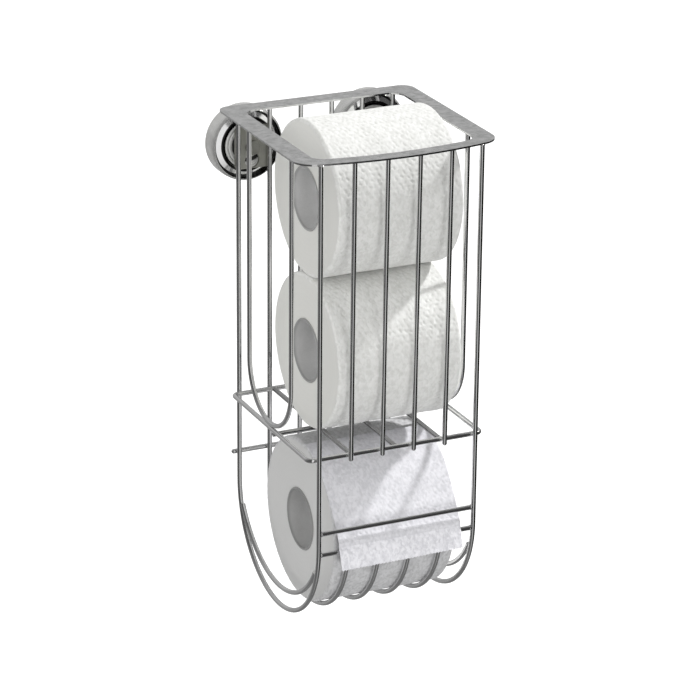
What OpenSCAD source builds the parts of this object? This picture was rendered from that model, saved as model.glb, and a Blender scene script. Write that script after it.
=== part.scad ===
/* [Wire] */
// Diameter of every bent and straight wire
wire_d = 3.4; // [2.6:0.2:4]

/* [Rack] */
// Distance between the planes of the two side hoops
hoop_spacing = 117; // [112:1:126]
// Distance from the front legs to the back legs
leg_depth = 137.6; // [134:0.2:148]
// Distance from the wall to the back legs
leg_standoff = 24.7; // [24:0.1:32]
// How far the side hoops reach below the cradle wires
hoop_below_cradle = 0; // [0:0.5:10]
// How far the middle front wires lean out at the top ring
front_lean = 3; // [0:0.5:5]

/* [Top ring] */
// Width of the flat ring from side to side
ring_w = 146.4; // [145:0.2:158]
// Width of the strip that the ring is made of
ring_strip = 14.4; // [12:0.2:15]
// Width of the strip along the bowed front edge
ring_front_strip = 10.5; // [9:0.5:15]
// Thickness of the ring
ring_t = 1.2; // [1:0.1:3]
// How far the ring reaches past the back legs
ring_back_over = 5; // [3:0.5:6]
// How far the middle of the ring's front edge reaches past the front legs
ring_front_over = 7; // [6:0.5:12]
// Depth of the bow of the front edge between the hoops
ring_bow = 6; // [4:0.5:10]
// Corner radius of the outer edge at the back
ring_back_r = 9; // [4:0.5:14]
// Corner radius of the outer edge at the front
ring_front_r = 15; // [8:0.5:20]
// Corner radius of the opening
ring_inner_r = 9; // [3:0.5:12]
// Height of the ring above the centres of the wall mounts
ring_rise = 30; // [27:0.5:40]

/* [Basket] */
// How far the floor of the basket lies below the ring
basket_drop = 209; // [200:0.1:216]
// Distance between the side bars of the floor
floor_w = 129.2; // [126:0.2:132]
// Bend radius at the corners of the floor
floor_bend = 4; // [3:0.5:9]
// Distance between neighbouring bars of the floor
floor_bar_pitch = 33.5; // [24:0.5:40]
// How far the cross bar lies in front of the middle of the floor
floor_cross_forward = 5; // [-12:1:12]
// How far the front wires reach below the floor
front_wire_below = 2; // [2:0.5:8]
// Width of the side guards from front leg to back leg
side_guard_w = 71.4; // [50:0.2:90]
// How far the back bar lies above the bends of the cradle wires
back_bar_above = 20.5; // [6:0.5:30]
// How far the back bar reaches past each hoop
back_bar_past = 3; // [2:0.5:8]

/* [Cradle] */
// How much taller the space below the floor of the basket is than the roll in use
roll_head_room = 16; // [12:0.1:30]
// How far the lower tear bar lies below the height at which the cradle wires begin to bend
tear_bar_below = 2.1; // [1:0.1:8]
// Distance between the two tear bars
tear_bar_gap = 15.5; // [13:0.5:20]
// How far the cradle wires' ends reach above the lower tear bar
cradle_end_above = 2; // [0.5:0.5:3]
// How far the lowest point of the roll guards lies above that of the hoops
roll_guard_above = 14; // [10:0.5:18]
// How far the ends of the roll guards lie above their lowest point
roll_guard_sag = 36; // [30:0.5:40]

/* [Hanger plates] */
// Thickness of the plates
plate_t = 2; // [1.2:0.1:2.4]
// Height of the plates
plate_h = 30; // [26:1:36]
// How far the plates reach past the wires that they are welded to
plate_past = 1.4; // [0.5:0.1:2]
// Corner radius of the plates
plate_r = 2.5; // [1:0.5:5]
// Travel from the hanging place to the round hole of the keyhole
keyhole_travel = 9; // [8:0.5:12]

/* [Wall mounts] */
// Distance between the centres of the two mounts
mount_spacing = 95; // [90:0.5:97]
// Diameter of the twist ring
twist_d = 53; // [47:1:53]
// Distance from the wall to the front of the twist ring
twist_depth = 16.5; // [15.5:0.5:18]
// Thickness of the twist ring's shell
twist_wall = 1.8; // [1.2:0.1:2.4]
// Edge radius of the twist ring
twist_edge_r = 1.8; // [0.5:0.1:1.8]
// Radius of the groove in the face of the twist ring
twist_groove_r = 3.4; // [2.5:0.1:3.6]
// Depth of the groove in the face of the twist ring
twist_groove_t = 3; // [1.5:0.1:3.2]
// Angle that the twist ring turns through
twist_turn = 90; // [60:5:100]
// Diameter of the housing's neck, inside the twist ring
housing_neck_d = 30; // [28:0.5:32]
// Wall of the housing's neck
housing_neck_wall = 3; // [2:0.1:4]
// Thickness of the housing's flange
housing_flange_t = 1.6; // [1:0.1:1.8]
// Thickness of the disc that closes the neck
housing_disc_t = 1.8; // [1.2:0.1:2.2]
// How far the disc lies behind the rim of the twist ring
housing_recess = 0.4; // [0.2:0.1:1.5]
// Diameter of the suction pad
pad_d = 48; // [44:1:49]
// Thickness of the suction pad
pad_t = 3.2; // [2.8:0.1:3.6]
// Thickness of the pad's brim
pad_brim_t = 1.4; // [1:0.1:2]
// Diameter of the vacuum pocket behind the pad
pad_pocket_d = 38; // [30:1:40]
// Depth of the vacuum pocket
pad_pocket_t = 0.8; // [0.4:0.1:1]
// Diameter of the foot of the pad plug
plug_foot_d = 18; // [14:0.5:20]
// Thickness of the foot of the pad plug
plug_foot_t = 0.9; // [0.6:0.1:1.2]
// Diameter of the shaft of the pad plug
plug_shaft_d = 11.6; // [9:0.2:12]
// Width of the two lugs of the pad plug
plug_lug_w = 2.6; // [2:0.1:3.4]
// How far the lugs reach out of the housing's neck
plug_lug_past = 2.4; // [1.5:0.1:3]
// Distance that the plug is drawn out as the ring is twisted
plug_travel = 2; // [1:0.1:2.5]
// Diameter of the neck of the hanger post
post_neck_d = 5; // [4:0.2:6]
// Diameter of the head of the hanger post
post_head_d = 10; // [9:0.2:11]
// Thickness of the head of the hanger post
post_head_t = 2.2; // [1.5:0.1:3]
// Diameter of the shoulder of the hanger post
post_shoulder_d = 9; // [8:0.2:11]
// Diameter of the peened end of the hanger post, behind the disc
post_rivet_d = 7.6; // [6.5:0.2:9]
// Thickness of the peened end of the hanger post
post_rivet_t = 1.2; // [0.8:0.1:1.4]

/* [Paper rolls] */
// Width of every roll
roll_w = 92; // [84:1:98]
// How much smaller the two spare rolls are than the space between the legs
spare_roll_play = 26.3; // [25:0.1:44]
// How much smaller the roll in use is than the space in the cradle
used_roll_play = 12.8; // [12:0.1:50]
// Inner diameter of the cardboard cores
core_d = 42; // [36:1:46]
// Thickness of the cardboard
core_t = 1.25; // [0.6:0.05:2]
// Thickness of the hanging sheet, its embossing included
sheet_t = 0.7; // [0.4:0.1:1.2]
// Length of the sheet that hangs below the lower tear bar
sheet_hang = 13; // [6:1:40]
// Angle round the roll, from the wall side upwards, at which the loose sheet starts
sheet_start_angle = 96; // [80:1:120]
// Angle round the roll at which the loose sheet leaves it
sheet_leave_angle = 160; // [145:1:164]
// Sideways place of the middle roll, as a share of its play between the hoops
middle_roll_side_share = 0.42; // [-0.4:0.01:0.6]
// Sideways place of the top roll, as a share of its play in the ring
top_roll_side_share = 0.43; // [-0.4:0.01:0.6]
// Sideways place of the roll in use, as a share of its play between the hoops
used_roll_side_share = 0.28; // [-0.6:0.01:0.6]
// How far the middle roll lies in front of the middle of the basket
middle_roll_forward = 8; // [0:0.5:10]
// How far the top roll lies in front of the middle of the basket
top_roll_forward = 4.5; // [0:0.5:8]
// How far the roll in use lies in front of the middle of the cradle
used_roll_forward = 3.7; // [0:0.1:6]

/* [Hidden] */
$fn = 48;

// Clearances: soft paper, a part that slips over another, a seat and a running fit
paper_gap = 0.3;
slip_gap = 0.4;
seat_gap = 0.15;
running_gap = 0.08;
// Overrun of every cut
cut = 1;

// Planes and heights of the rack: the wall is at y = 0 and the room lies towards -y
back_y = -leg_standoff;
front_y = back_y - leg_depth;
mid_y = (back_y + front_y) / 2;
ring_z = ring_rise;
ring_under = ring_z - ring_t / 2;
hoop_x = hoop_spacing / 2;
inner_wires = 4;
wire_pitch = hoop_spacing / (inner_wires + 1);
floor_z = ring_z - basket_drop;
floor_back_y = back_y - wire_d;
floor_front_y = front_y + wire_d;
side_bar_x = floor_w / 2;

// Diameters of the rolls, from the space between the legs and in the cradle
spare_roll_d = leg_depth - wire_d - spare_roll_play;
used_roll_d = leg_depth - 2 * wire_d - used_roll_play;

// Bottom bends of the side hoops and of the cradle wires, and the bars that lie on these
cradle_low_z = floor_z - used_roll_d - roll_head_room;
hoop_low_z = cradle_low_z - hoop_below_cradle;
hoop_r = leg_depth / 2;
hoop_bend_z = hoop_low_z + hoop_r;
cradle_r = (leg_depth - wire_d) / 2;
cradle_mid_y = back_y - cradle_r;
cradle_bend_z = cradle_low_z + cradle_r;
back_bar_z = cradle_bend_z + back_bar_above;
lower_tear_z = cradle_bend_z - tear_bar_below;
upper_tear_z = lower_tear_z + tear_bar_gap;
cradle_end_z = lower_tear_z + cradle_end_above;
cradle_end_angle = 180 + asin(max(0, (cradle_bend_z - cradle_end_z) / cradle_r));
lower_tear_in = sqrt(pow(cradle_r, 2) - pow(cradle_bend_z - lower_tear_z, 2));
lower_tear_y = cradle_mid_y - lower_tear_in - wire_d;

// Roll guards: arcs in the planes of the hoops, whose ends meet the inside of the bends
guard_tuck_share = 0.42;
guard_low_z = hoop_low_z + roll_guard_above;
guard_end_rise = hoop_bend_z - guard_low_z - roll_guard_sag;
guard_reach = sqrt(pow(hoop_r - wire_d / 2, 2) - pow(guard_end_rise, 2)) - wire_d * guard_tuck_share;
guard_r = (pow(guard_reach, 2) + pow(roll_guard_sag, 2)) / (2 * roll_guard_sag);
guard_centre_z = guard_low_z + guard_r;
guard_angle = asin(guard_reach / guard_r);

// Side guards stand on the side bars of the floor
side_guard_r = side_guard_w / 2;
side_guard_bend_z = floor_z + wire_d + side_guard_r;

// Top ring: the front edge is an arc across the front legs of the hoops
ring_back_y = back_y + ring_back_over;
ring_front_y = front_y - ring_front_over;
ring_bow_r = (pow(hoop_x, 2) + pow(ring_bow, 2)) / (2 * ring_bow);
ring_bow_y = ring_front_y + ring_bow_r;

// Wall mounts: distances from the wall, from the pad to the head of the post
mount_x = mount_spacing / 2;
twist_r = twist_d / 2;
neck_r = housing_neck_d / 2;
flange_r = twist_r - twist_wall - slip_gap;
flange_front = pad_t + housing_flange_t;
housing_front = twist_depth - housing_recess;
disc_back = housing_front - housing_disc_t;
twist_back = pad_brim_t + slip_gap;
twist_web_back = twist_depth - twist_groove_t - twist_wall;
twist_bore_r = neck_r + running_gap;
twist_cavity_r = twist_r - twist_wall;
plug_foot_back = pad_t - plug_foot_t;
plug_hole_r = plug_foot_d / 2 + running_gap;
plate_back = leg_standoff - wire_d / 2 - plate_t;
shoulder_front = plate_back - seat_gap;
head_back = plate_back + plate_t + seat_gap;

// Cams behind the lugs of the plug
cam_t = 1.4;
cam_lead = 10;
cam_back = flange_front + slip_gap;
lug_back = cam_back + cam_t + seat_gap;
lug_front = twist_web_back - slip_gap - plug_travel;
lug_reach = neck_r + plug_lug_past;

// Rolls
spare_r = spare_roll_d / 2;
used_r = used_roll_d / 2;
core_outer_r = core_d / 2 + core_t;
hoop_roll_play = hoop_spacing - wire_d - roll_w;
ring_roll_play = ring_w - 2 * ring_strip - roll_w;
middle_roll_x = middle_roll_side_share * hoop_roll_play / 2;
top_roll_x = top_roll_side_share * ring_roll_play / 2;
used_roll_x = used_roll_side_share * hoop_roll_play / 2;
middle_roll_y = mid_y - middle_roll_forward;
middle_roll_z = floor_z + wire_d / 2 + paper_gap + spare_r;
top_roll_y = mid_y - top_roll_forward;
roll_step = spare_roll_d + paper_gap;
top_roll_z = middle_roll_z + sqrt(pow(roll_step, 2) - pow(top_roll_y - middle_roll_y, 2));
used_roll_y = cradle_mid_y - used_roll_forward;
used_roll_seat = cradle_r - wire_d / 2 - used_r - paper_gap;
used_roll_z = cradle_bend_z - sqrt(max(0, pow(used_roll_seat, 2) - pow(used_roll_forward, 2)));

// Loose sheet: its middle line lies clear of the roll and of the lower tear bar
sheet_roll_r = used_r + paper_gap + sheet_t / 2;
sheet_bar_r = wire_d / 2 + paper_gap + sheet_t / 2;
sheet_bar_angle = 115;
sheet_slack_share = 0.35;
hang_shares = [[-0.02, -0.5], [-0.07, -1]];

// A straight wire from one point to another, its ends cut square or round
module rod(from, to, round_start = false, round_end = false) {
    along = to - from;
    reach = norm(along);
    translate(from)
        rotate([0, acos(along.z / reach), atan2(along.y, along.x)]) {
            cylinder(h = reach, d = wire_d);
            if (round_start) sphere(d = wire_d);
            if (round_end) translate([0, 0, reach]) sphere(d = wire_d);
        }
}

// A bend in a plane square to x: its angles are measured from the wall side upwards
module bend(r, start, turn) {
    rotate([90, 0, 90])
        rotate([0, 0, start])
            rotate_extrude(angle = turn)
                translate([r, 0]) circle(d = wire_d);
}

function arc(centre, r, start, end, steps) =
    [for (i = [0:steps]) let (a = start + (end - start) * i / steps) centre + r * [cos(a), sin(a)]];

// Outline of the ring's edge: straight sides, round corners and a bowed front
function ring_edge(half_w, back, back_r, front_r, bow_r) =
    let (corner_x = half_w - front_r,
        corner_y = ring_bow_y - sqrt(pow(bow_r - front_r, 2) - pow(corner_x, 2)),
        turn = atan2(corner_y - ring_bow_y, corner_x),
        bow = arc([0, ring_bow_y], bow_r, 180 - turn, 360 + turn, 24))
    concat(arc([corner_x, corner_y], front_r, turn, 0, 12),
        arc([half_w - back_r, back - back_r], back_r, 0, 90, 10),
        arc([back_r - half_w, back - back_r], back_r, 90, 180, 10),
        arc([-corner_x, corner_y], front_r, 180, 180 - turn, 12),
        [for (i = [1:len(bow) - 2]) bow[i]]);

module top_ring() {
    color("lightgray")
        translate([0, 0, ring_under])
            linear_extrude(ring_t)
                difference() {
                    polygon(ring_edge(ring_w / 2, ring_back_y, ring_back_r, ring_front_r, ring_bow_r));
                    polygon(ring_edge(ring_w / 2 - ring_strip, ring_back_y - ring_strip,
                        ring_inner_r, ring_inner_r, ring_bow_r - ring_front_strip));
                }
}

// A side hoop: front leg, half-round bottom and back leg in one wire
module hoop(x) {
    color("silver") {
        rod([x, back_y, hoop_bend_z], [x, back_y, ring_under]);
        rod([x, front_y, hoop_bend_z], [x, front_y, ring_under]);
        translate([x, mid_y, hoop_bend_z]) bend(hoop_r, 180, 180);
    }
}

// An inner wire: down the back, round under the roll and up to the lower tear bar
module back_wire(i) {
    x = i * wire_pitch - hoop_x;
    color("silver") {
        rod([x, back_y, cradle_bend_z], [x, back_y, ring_under]);
        translate([x, cradle_mid_y, cradle_bend_z]) bend(cradle_r, 0, cradle_end_angle - 360);
    }
}

// A front wire: from under the ring to just below the front bar of the floor
module front_wire(i) {
    x = i * wire_pitch - hoop_x;
    lean = front_lean * (1 - pow(x / hoop_x, 2));
    color("silver")
        rod([x, front_y - lean, ring_under], [x, front_y, floor_z - front_wire_below], false, true);
}

// A side guard: a U that hangs from the ring and stands on the side bar of the floor
module side_guard(x) {
    color("silver") {
        rod([x, mid_y + side_guard_r, side_guard_bend_z], [x, mid_y + side_guard_r, ring_under]);
        rod([x, mid_y - side_guard_r, side_guard_bend_z], [x, mid_y - side_guard_r, ring_under]);
        translate([x, mid_y, side_guard_bend_z]) bend(side_guard_r, 180, 180);
    }
}

module floor_corner(x, y, start) {
    translate([x, y, floor_z])
        rotate([0, 0, start])
            rotate_extrude(angle = 90)
                translate([floor_bend, 0]) circle(d = wire_d);
}

// The floor's outer wire, bent into a rounded rectangle
module floor_loop() {
    x = side_bar_x - floor_bend;
    back = floor_back_y - floor_bend;
    front = floor_front_y + floor_bend;
    color("silver") {
        rod([-x, floor_back_y, floor_z], [x, floor_back_y, floor_z]);
        rod([-x, floor_front_y, floor_z], [x, floor_front_y, floor_z]);
        rod([-side_bar_x, front, floor_z], [-side_bar_x, back, floor_z]);
        rod([side_bar_x, front, floor_z], [side_bar_x, back, floor_z]);
        floor_corner(x, back, 0);
        floor_corner(-x, back, 90);
        floor_corner(-x, front, 180);
        floor_corner(x, front, 270);
    }
}

// A bar of the floor, between its front bar and its back bar
module floor_bar(x) {
    color("silver")
        rod([x, floor_front_y + wire_d / 2, floor_z], [x, floor_back_y - wire_d / 2, floor_z]);
}

// The bar under the floor, from one side bar to the other
module floor_cross_bar() {
    y = mid_y - floor_cross_forward;
    z = floor_z - wire_d;
    color("silver") rod([-side_bar_x, y, z], [side_bar_x, y, z]);
}

// The bar behind the back wires, above the roll in use
module back_bar() {
    y = back_y + wire_d;
    reach = hoop_x + back_bar_past;
    color("silver") rod([-reach, y, back_bar_z], [reach, y, back_bar_z], true, true);
}

// A tear bar, between the front legs of the hoops
module tear_bar(y, z) {
    reach = hoop_x - wire_d / 2;
    color("silver") rod([-reach, y, z], [reach, y, z]);
}

// A roll guard: an arc inside the bottom of a hoop
module roll_guard(x) {
    color("silver")
        translate([x, mid_y, guard_centre_z])
            bend(guard_r, 270 - guard_angle, 2 * guard_angle);
}

// A hanger plate across the two back wires of one side, with its keyhole
module hanger_plate(side) {
    inner = hoop_x - wire_pitch - plate_past;
    outer = hoop_x + plate_past;
    color("silver")
        translate([0, -plate_back - plate_t, 0])
            rotate([-90, 0, 0])
                linear_extrude(plate_t)
                    difference() {
                        plate_face(min(side * inner, side * outer), outer - inner);
                        translate([side * mount_x, slip_gap - seat_gap]) keyhole();
                    }
}

// The face of a plate, with round corners
module plate_face(left, width) {
    for (x = [left + plate_r, left + width - plate_r], y = [plate_r - plate_h / 2, plate_h / 2 - plate_r])
        translate([x, y]) circle(plate_r);
    translate([left + plate_r, -plate_h / 2]) square([width - 2 * plate_r, plate_h]);
    translate([left, plate_r - plate_h / 2]) square([width, plate_h - 2 * plate_r]);
}

// The narrow end hangs on the neck of the post, and the round hole lies below it
module keyhole() {
    slot_w = post_neck_d + 2 * slip_gap;
    circle(d = slot_w);
    translate([-slot_w / 2, 0]) square([slot_w, keyhole_travel]);
    translate([0, keyhole_travel]) circle(d = post_head_d + 2 * slip_gap);
}

// Turns a shape whose z is the distance from the wall, on the axis of one mount
module on_wall(side) {
    translate([side * mount_x, 0, 0])
        rotate([90, 0, 0])
            children();
}

// The rubber pad: a brim on the wall, a vacuum pocket and a seat for the plug
module suction_pad(side) {
    color("dimgray")
        on_wall(side)
            rotate_extrude()
                difference() {
                    union() {
                        square([pad_d / 2, pad_brim_t]);
                        square([flange_r, pad_t]);
                    }
                    translate([0, -cut]) square([pad_pocket_d / 2, cut + pad_pocket_t]);
                    translate([0, plug_foot_back - running_gap]) square([plug_hole_r, plug_foot_t + cut]);
                }
}

// The plug in the middle of the pad, with two lugs that the cams draw out
module pad_plug(side) {
    color("gray")
        on_wall(side) {
            translate([0, 0, plug_foot_back]) cylinder(h = plug_foot_t, d = plug_foot_d);
            translate([0, 0, plug_foot_back]) cylinder(h = lug_front - plug_foot_back, d = plug_shaft_d);
            translate([-lug_reach, -plug_lug_w / 2, lug_back])
                cube([2 * lug_reach, plug_lug_w, lug_front - lug_back]);
        }
}

// The fixed housing: a flange on the pad, a neck with two slots and a front disc
module mount_housing(side) {
    slot_w = plug_lug_w + 2 * slip_gap;
    slot_back = lug_back - slip_gap;
    color("whitesmoke")
        on_wall(side)
            difference() {
                rotate_extrude() {
                    translate([plug_hole_r, pad_t]) square([flange_r - plug_hole_r, housing_flange_t]);
                    translate([neck_r - housing_neck_wall, pad_t])
                        square([housing_neck_wall, housing_front - pad_t]);
                    translate([post_neck_d / 2, disc_back])
                        square([neck_r - post_neck_d / 2, housing_disc_t]);
                }
                translate([-neck_r - cut, -slot_w / 2, slot_back])
                    cube([2 * (neck_r + cut), slot_w, lug_front + plug_travel + slip_gap - slot_back]);
            }
}

// The twist ring: a round-edged shell with a grooved face, a bore on the neck and two cams
module twist_ring(side) {
    color("lightgray")
        on_wall(side) {
            rotate_extrude() twist_profile();
            for (half = [0, 180])
                rotate([0, 0, half]) cam();
        }
}

module twist_profile() {
    groove_mid_r = (twist_bore_r + twist_cavity_r) / 2;
    difference() {
        union() {
            translate([twist_cavity_r, twist_back])
                square([twist_wall, twist_depth - twist_edge_r - twist_back]);
            translate([twist_bore_r, twist_web_back])
                square([twist_r - twist_edge_r - twist_bore_r, twist_depth - twist_web_back]);
            translate([twist_r - twist_edge_r, twist_depth - twist_edge_r]) circle(twist_edge_r);
        }
        translate([groove_mid_r, twist_depth - twist_groove_t + twist_groove_r]) circle(twist_groove_r);
    }
}

// One cam: a ledge behind a lug, from just before its rest place to just past its turn
module cam() {
    rotate([0, 0, -cam_lead])
        rotate_extrude(angle = twist_turn + 2 * cam_lead)
            translate([twist_bore_r, cam_back])
                square([twist_cavity_r + twist_wall / 2 - twist_bore_r, cam_t]);
}

// The headed post that the keyhole hangs on
module hanger_post(side) {
    color("silver")
        on_wall(side) {
            translate([0, 0, disc_back - post_rivet_t]) cylinder(h = post_rivet_t, d = post_rivet_d);
            translate([0, 0, disc_back - post_rivet_t])
                cylinder(h = head_back - disc_back + post_rivet_t, d = post_neck_d);
            translate([0, 0, housing_front])
                cylinder(h = shoulder_front - housing_front, d = post_shoulder_d);
            translate([0, 0, head_back]) cylinder(h = post_head_t, d = post_head_d);
        }
}

// The paper of one roll, along x
module roll_paper(x, y, z, r) {
    color("white")
        translate([x - roll_w / 2, y, z])
            rotate([0, 90, 0])
                difference() {
                    cylinder(h = roll_w, r = r);
                    translate([0, 0, -cut]) cylinder(h = roll_w + 2 * cut, r = core_outer_r);
                }
}

// The cardboard core of one roll
module roll_core(x, y, z) {
    color("darkgray")
        translate([x - roll_w / 2, y, z])
            rotate([0, 90, 0])
                difference() {
                    cylinder(h = roll_w, r = core_outer_r);
                    translate([0, 0, -cut]) cylinder(h = roll_w + 2 * cut, d = core_d);
                }
}

function bezier(p, t) =
    pow(1 - t, 3) * p[0] + 3 * t * pow(1 - t, 2) * p[1] + 3 * t * t * (1 - t) * p[2] + pow(t, 3) * p[3];
function bezier_slope(p, t) =
    pow(1 - t, 2) * (p[1] - p[0]) + 2 * t * (1 - t) * (p[2] - p[1]) + t * t * (p[3] - p[2]);

// One face of the loose sheet, off its middle line by the given distance: round the
// front of the roll, out between the tear bars, over the lower one and down
function sheet_face(off) =
    let (roll = [used_roll_y, used_roll_z],
        bar = [lower_tear_y, lower_tear_z],
        leave = roll + sheet_roll_r * [cos(sheet_leave_angle), sin(sheet_leave_angle)],
        land = bar + sheet_bar_r * [cos(sheet_bar_angle), sin(sheet_bar_angle)],
        slack = norm(land - leave) * sheet_slack_share,
        p = [leave, leave + slack * [-sin(sheet_leave_angle), cos(sheet_leave_angle)],
            land + slack * [sin(sheet_bar_angle), -cos(sheet_bar_angle)], land],
        hang = bar + [-sheet_bar_r - off, 0])
    concat(arc(roll, sheet_roll_r + off, sheet_start_angle, sheet_leave_angle, 14),
        [for (i = [1:9]) let (v = bezier_slope(p, i / 10))
            bezier(p, i / 10) + off * [v.y, -v.x] / norm(v)],
        arc(bar, sheet_bar_r + off, sheet_bar_angle, 180, 6),
        [for (share = hang_shares) hang + sheet_hang * share]);

module loose_sheet() {
    inner = sheet_face(-sheet_t / 2);
    color("white")
        translate([used_roll_x - roll_w / 2, 0, 0])
            rotate([90, 0, 90])
                linear_extrude(roll_w)
                    polygon(concat(sheet_face(sheet_t / 2), [for (i = [len(inner) - 1:-1:0]) inner[i]]));
}

top_ring();
hoop(-hoop_x);  // left_hoop
hoop(hoop_x);  // right_hoop
for (i = [1:inner_wires]) {
    back_wire(i);
    front_wire(i);
}
side_guard(-side_bar_x);  // left_side_guard
side_guard(side_bar_x);  // right_side_guard
floor_loop();
for (i = [1:3])
    floor_bar((i - 2) * floor_bar_pitch);
floor_cross_bar();
back_bar();
tear_bar(front_y, upper_tear_z);  // upper_tear_bar
tear_bar(lower_tear_y, lower_tear_z);  // lower_tear_bar
roll_guard(-hoop_x);  // left_roll_guard
roll_guard(hoop_x);  // right_roll_guard
for (side = [-1, 1]) {
    name = side < 0 ? "left" : "right";
    hanger_plate(side);
    suction_pad(side);
    pad_plug(side);
    mount_housing(side);
    twist_ring(side);
    hanger_post(side);
}
roll_paper(top_roll_x, top_roll_y, top_roll_z, spare_r);  // top_roll_paper
roll_core(top_roll_x, top_roll_y, top_roll_z);  // top_roll_core
roll_paper(middle_roll_x, middle_roll_y, middle_roll_z, spare_r);  // middle_roll_paper
roll_core(middle_roll_x, middle_roll_y, middle_roll_z);  // middle_roll_core
roll_paper(used_roll_x, used_roll_y, used_roll_z, used_r);  // used_roll_paper
roll_core(used_roll_x, used_roll_y, used_roll_z);  // used_roll_core
loose_sheet();
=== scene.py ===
import math

import bpy
import numpy as np
from mathutils import Matrix, Vector

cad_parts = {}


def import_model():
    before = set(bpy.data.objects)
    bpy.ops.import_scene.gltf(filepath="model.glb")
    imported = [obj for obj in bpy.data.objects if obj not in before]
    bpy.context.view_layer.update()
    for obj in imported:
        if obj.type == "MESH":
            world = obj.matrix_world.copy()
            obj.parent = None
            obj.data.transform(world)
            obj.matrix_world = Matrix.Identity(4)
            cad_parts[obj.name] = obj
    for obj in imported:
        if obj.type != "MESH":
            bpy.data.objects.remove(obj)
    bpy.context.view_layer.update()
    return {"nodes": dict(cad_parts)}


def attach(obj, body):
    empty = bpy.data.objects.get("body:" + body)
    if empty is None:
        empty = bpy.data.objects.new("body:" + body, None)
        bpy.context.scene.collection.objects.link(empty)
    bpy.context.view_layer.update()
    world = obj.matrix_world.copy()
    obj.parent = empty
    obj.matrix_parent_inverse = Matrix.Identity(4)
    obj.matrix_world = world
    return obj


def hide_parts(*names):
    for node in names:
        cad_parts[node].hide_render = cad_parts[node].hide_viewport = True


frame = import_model()
nodes = frame["nodes"]


MM = 0.001
bpy.context.view_layer.update()


def span(name):
    """Lowest and highest corner of a node of the frame, in mm."""
    obj = nodes[name]
    points = np.array([tuple(obj.matrix_world @ Vector(c)) for c in obj.bound_box]) / MM
    return points.min(0), points.max(0)


def middle(name):
    low, high = span(name)
    return (low + high) / 2


WIRE_R = float(span("upper_tear_bar")[1][2] - span("upper_tear_bar")[0][2]) / 2
ROLL_W = float(span("used_roll_paper")[1][0] - span("used_roll_paper")[0][0])
CORE_R = float(span("used_roll_core")[1][2] - span("used_roll_core")[0][2]) / 2
ROLLS = {}
for key, seed in (("top_roll", 11), ("middle_roll", 23), ("used_roll", 37)):
    low, high = span(key + "_paper")
    ROLLS[key] = {"centre": (low + high) / 2, "r": float(high[2] - low[2]) / 2, "seed": seed}
TEAR_LOW = middle("lower_tear_bar")
TEAR_HIGH = middle("upper_tear_bar")
FLOOR_Z = float(middle("floor_bar_2")[2])
FRONT_Y = float(TEAR_HIGH[1])
BACK_Y = float(span("right_hoop")[1][1]) - WIRE_R
BACK_BAR_Z = float(middle("back_bar")[2])
RING_UNDER = float(span("top_ring")[0][2])
BARS_X = [float(middle("floor_bar_%d" % i)[0]) for i in (1, 2, 3)]
MOUNTS_X = [float(middle(side + "_suction_pad")[0]) for side in ("left", "right")]
TWIST_R = float(span("left_twist_ring")[1][0] - span("left_twist_ring")[0][0]) / 2
TWIST_FRONT = -float(span("left_twist_ring")[0][1])
TWIST_BACK = -float(span("left_twist_ring")[1][1])
DISC_FRONT = -float(span("left_mount_housing")[0][1])
NECK_R = 15.0  # neck of the mount's housing, which the twist ring turns on

# ---------------------------------------------------------------- camera
# Fitted to the photograph: to the left of the rack and above it, a plain lens without shift
CAMERA_AT = (-0.87476, -1.96159, 0.66658)
CAMERA_AZ, CAMERA_EL, CAMERA_ROLL = (math.radians(v) for v in (-24.977, 21.162, 0.5515))
LENS, SENSOR = 164.76, 36.0


def add_camera():
    az, el, roll = CAMERA_AZ, CAMERA_EL, CAMERA_ROLL
    forward = Vector((-math.sin(az) * math.cos(el), math.cos(az) * math.cos(el), -math.sin(el)))
    level = Vector((math.cos(az), math.sin(az), 0))
    above = level.cross(forward)
    right = level * math.cos(roll) + above * math.sin(roll)
    up = -level * math.sin(roll) + above * math.cos(roll)
    data = bpy.data.cameras.new("camera")
    data.lens = LENS
    data.sensor_width = SENSOR
    data.sensor_fit = "HORIZONTAL"
    data.clip_end = 50.0
    camera = bpy.data.objects.new("camera", data)
    bpy.context.scene.collection.objects.link(camera)
    turn = Matrix((right, up, -forward)).transposed().to_4x4()
    camera.matrix_world = Matrix.Translation(CAMERA_AT) @ turn
    bpy.context.scene.camera = camera


add_camera()


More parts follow.
